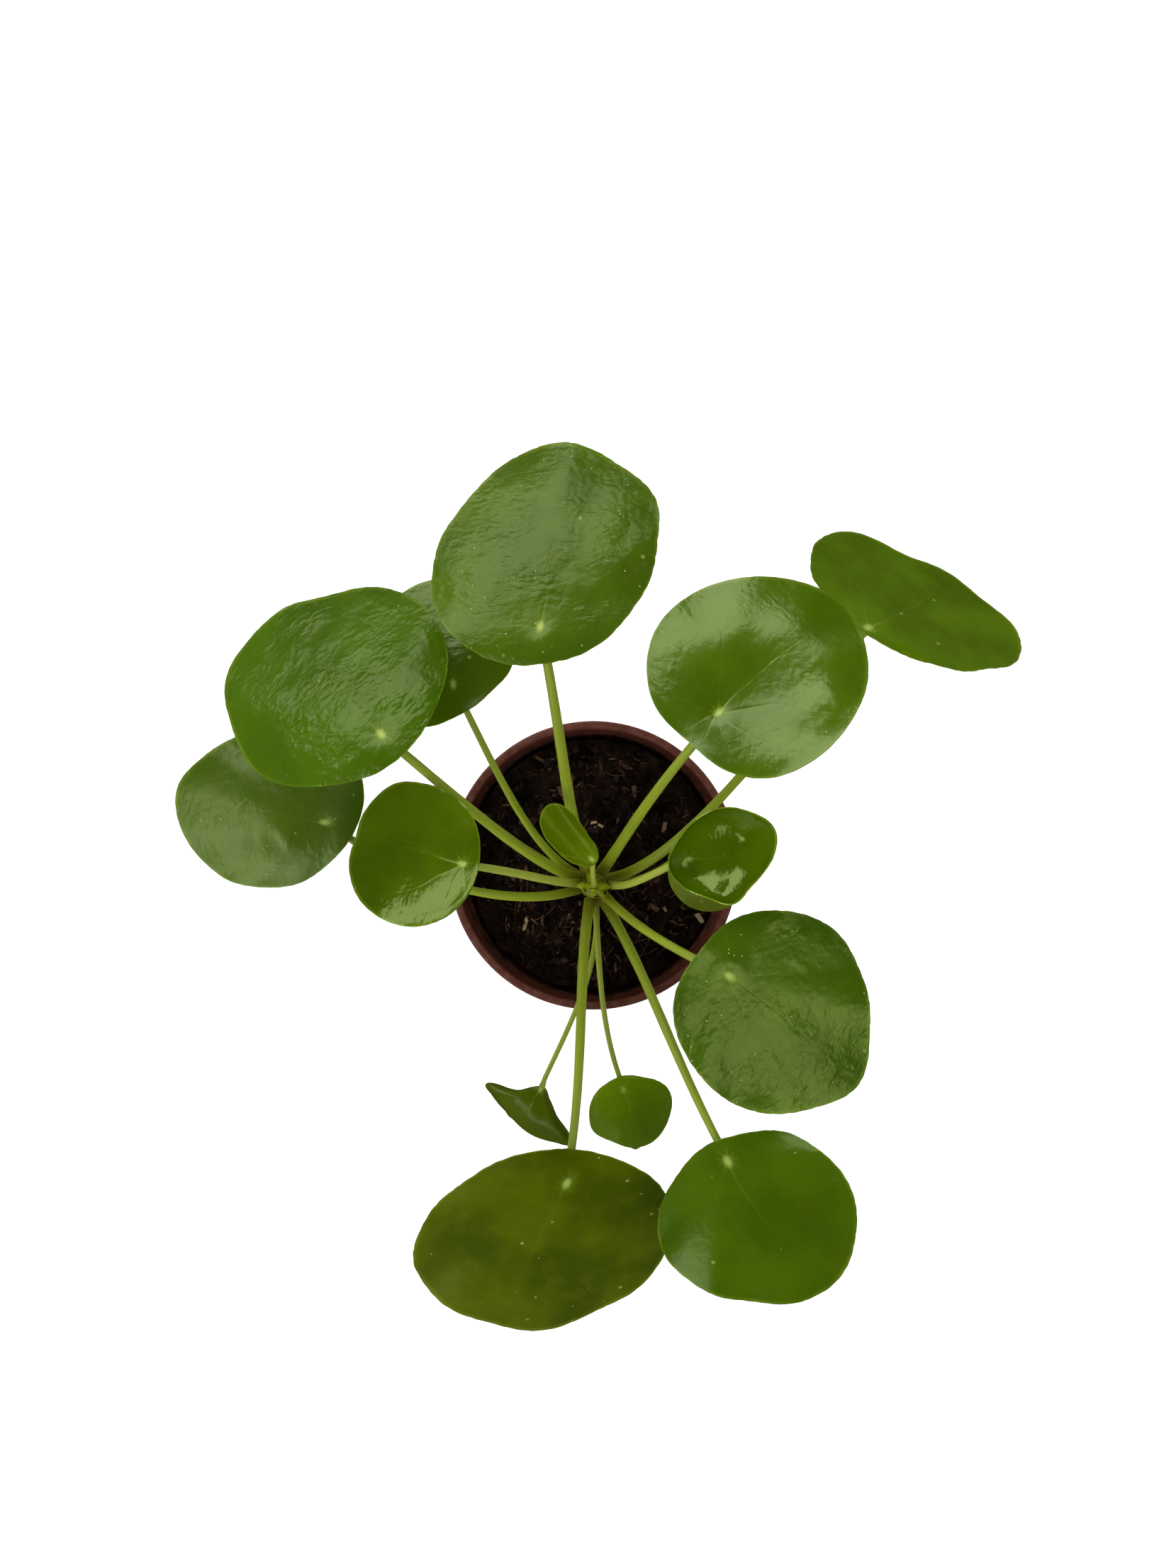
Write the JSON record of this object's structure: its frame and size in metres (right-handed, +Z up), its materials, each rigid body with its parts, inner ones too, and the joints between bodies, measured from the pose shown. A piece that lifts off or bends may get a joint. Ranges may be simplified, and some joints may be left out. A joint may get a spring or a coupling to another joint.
{
  "type": "potted chinese money plant",
  "caption": "Small house plant with round flat leaves on long arching stalks from a short stem, in a tapered plastic nursery pot of soil.",
  "frame": {"origin": "middle of the underside of the pot, on the surface it stands on", "axes": "+Z up through the pot; +Y towards the side where the tallest leaf leans, the top of the picture; +X to the right of the picture"},
  "size_m": [0.3331, 0.3451, 0.2475],
  "materials": {
    "pot": "dull red-brown moulded plastic, slightly darker inside",
    "soil": "near-black damp potting soil with fibres and bark chips",
    "stem": "olive to brown, matt, ringed with old leaf scars",
    "petiole": "smooth satin yellow-green plant tissue",
    "leaf_mature": "satin mid-green leaf with fine wrinkles and a pale spot over the stalk",
    "leaf_young": "glossy fresh-green young leaf",
    "leaf_shaded": "satin dark olive-green leaf"
  },
  "bodies": {
    "root": {"pot": "pot", "soil": "soil", "stem": "stem", "leaf_01_blade": "leaf_mature", "leaf_01_petiole": "petiole", "leaf_02_blade": "leaf_mature", "leaf_02_petiole": "petiole", "leaf_03_blade": "leaf_shaded", "leaf_03_petiole": "petiole", "leaf_04_blade": "leaf_mature", "leaf_04_petiole": "petiole", "leaf_05_blade": "leaf_young", "leaf_05_petiole": "petiole", "leaf_06_blade": "leaf_young", "leaf_06_petiole": "petiole", "leaf_07_blade": "leaf_shaded", "leaf_07_petiole": "petiole", "leaf_08_blade": "leaf_young", "leaf_08_petiole": "petiole", "leaf_09_blade": "leaf_mature", "leaf_09_petiole": "petiole", "leaf_10_blade": "leaf_mature", "leaf_10_petiole": "petiole", "leaf_11_blade": "leaf_shaded", "leaf_11_petiole": "petiole", "leaf_12_blade": "leaf_shaded", "leaf_12_petiole": "petiole", "leaf_13_blade": "leaf_mature", "leaf_13_petiole": "petiole", "leaf_14_blade": "leaf_mature", "leaf_14_petiole": "petiole", "leaf_15_blade": "leaf_young", "leaf_15_petiole": "petiole"}
  },
  "joints": []
}
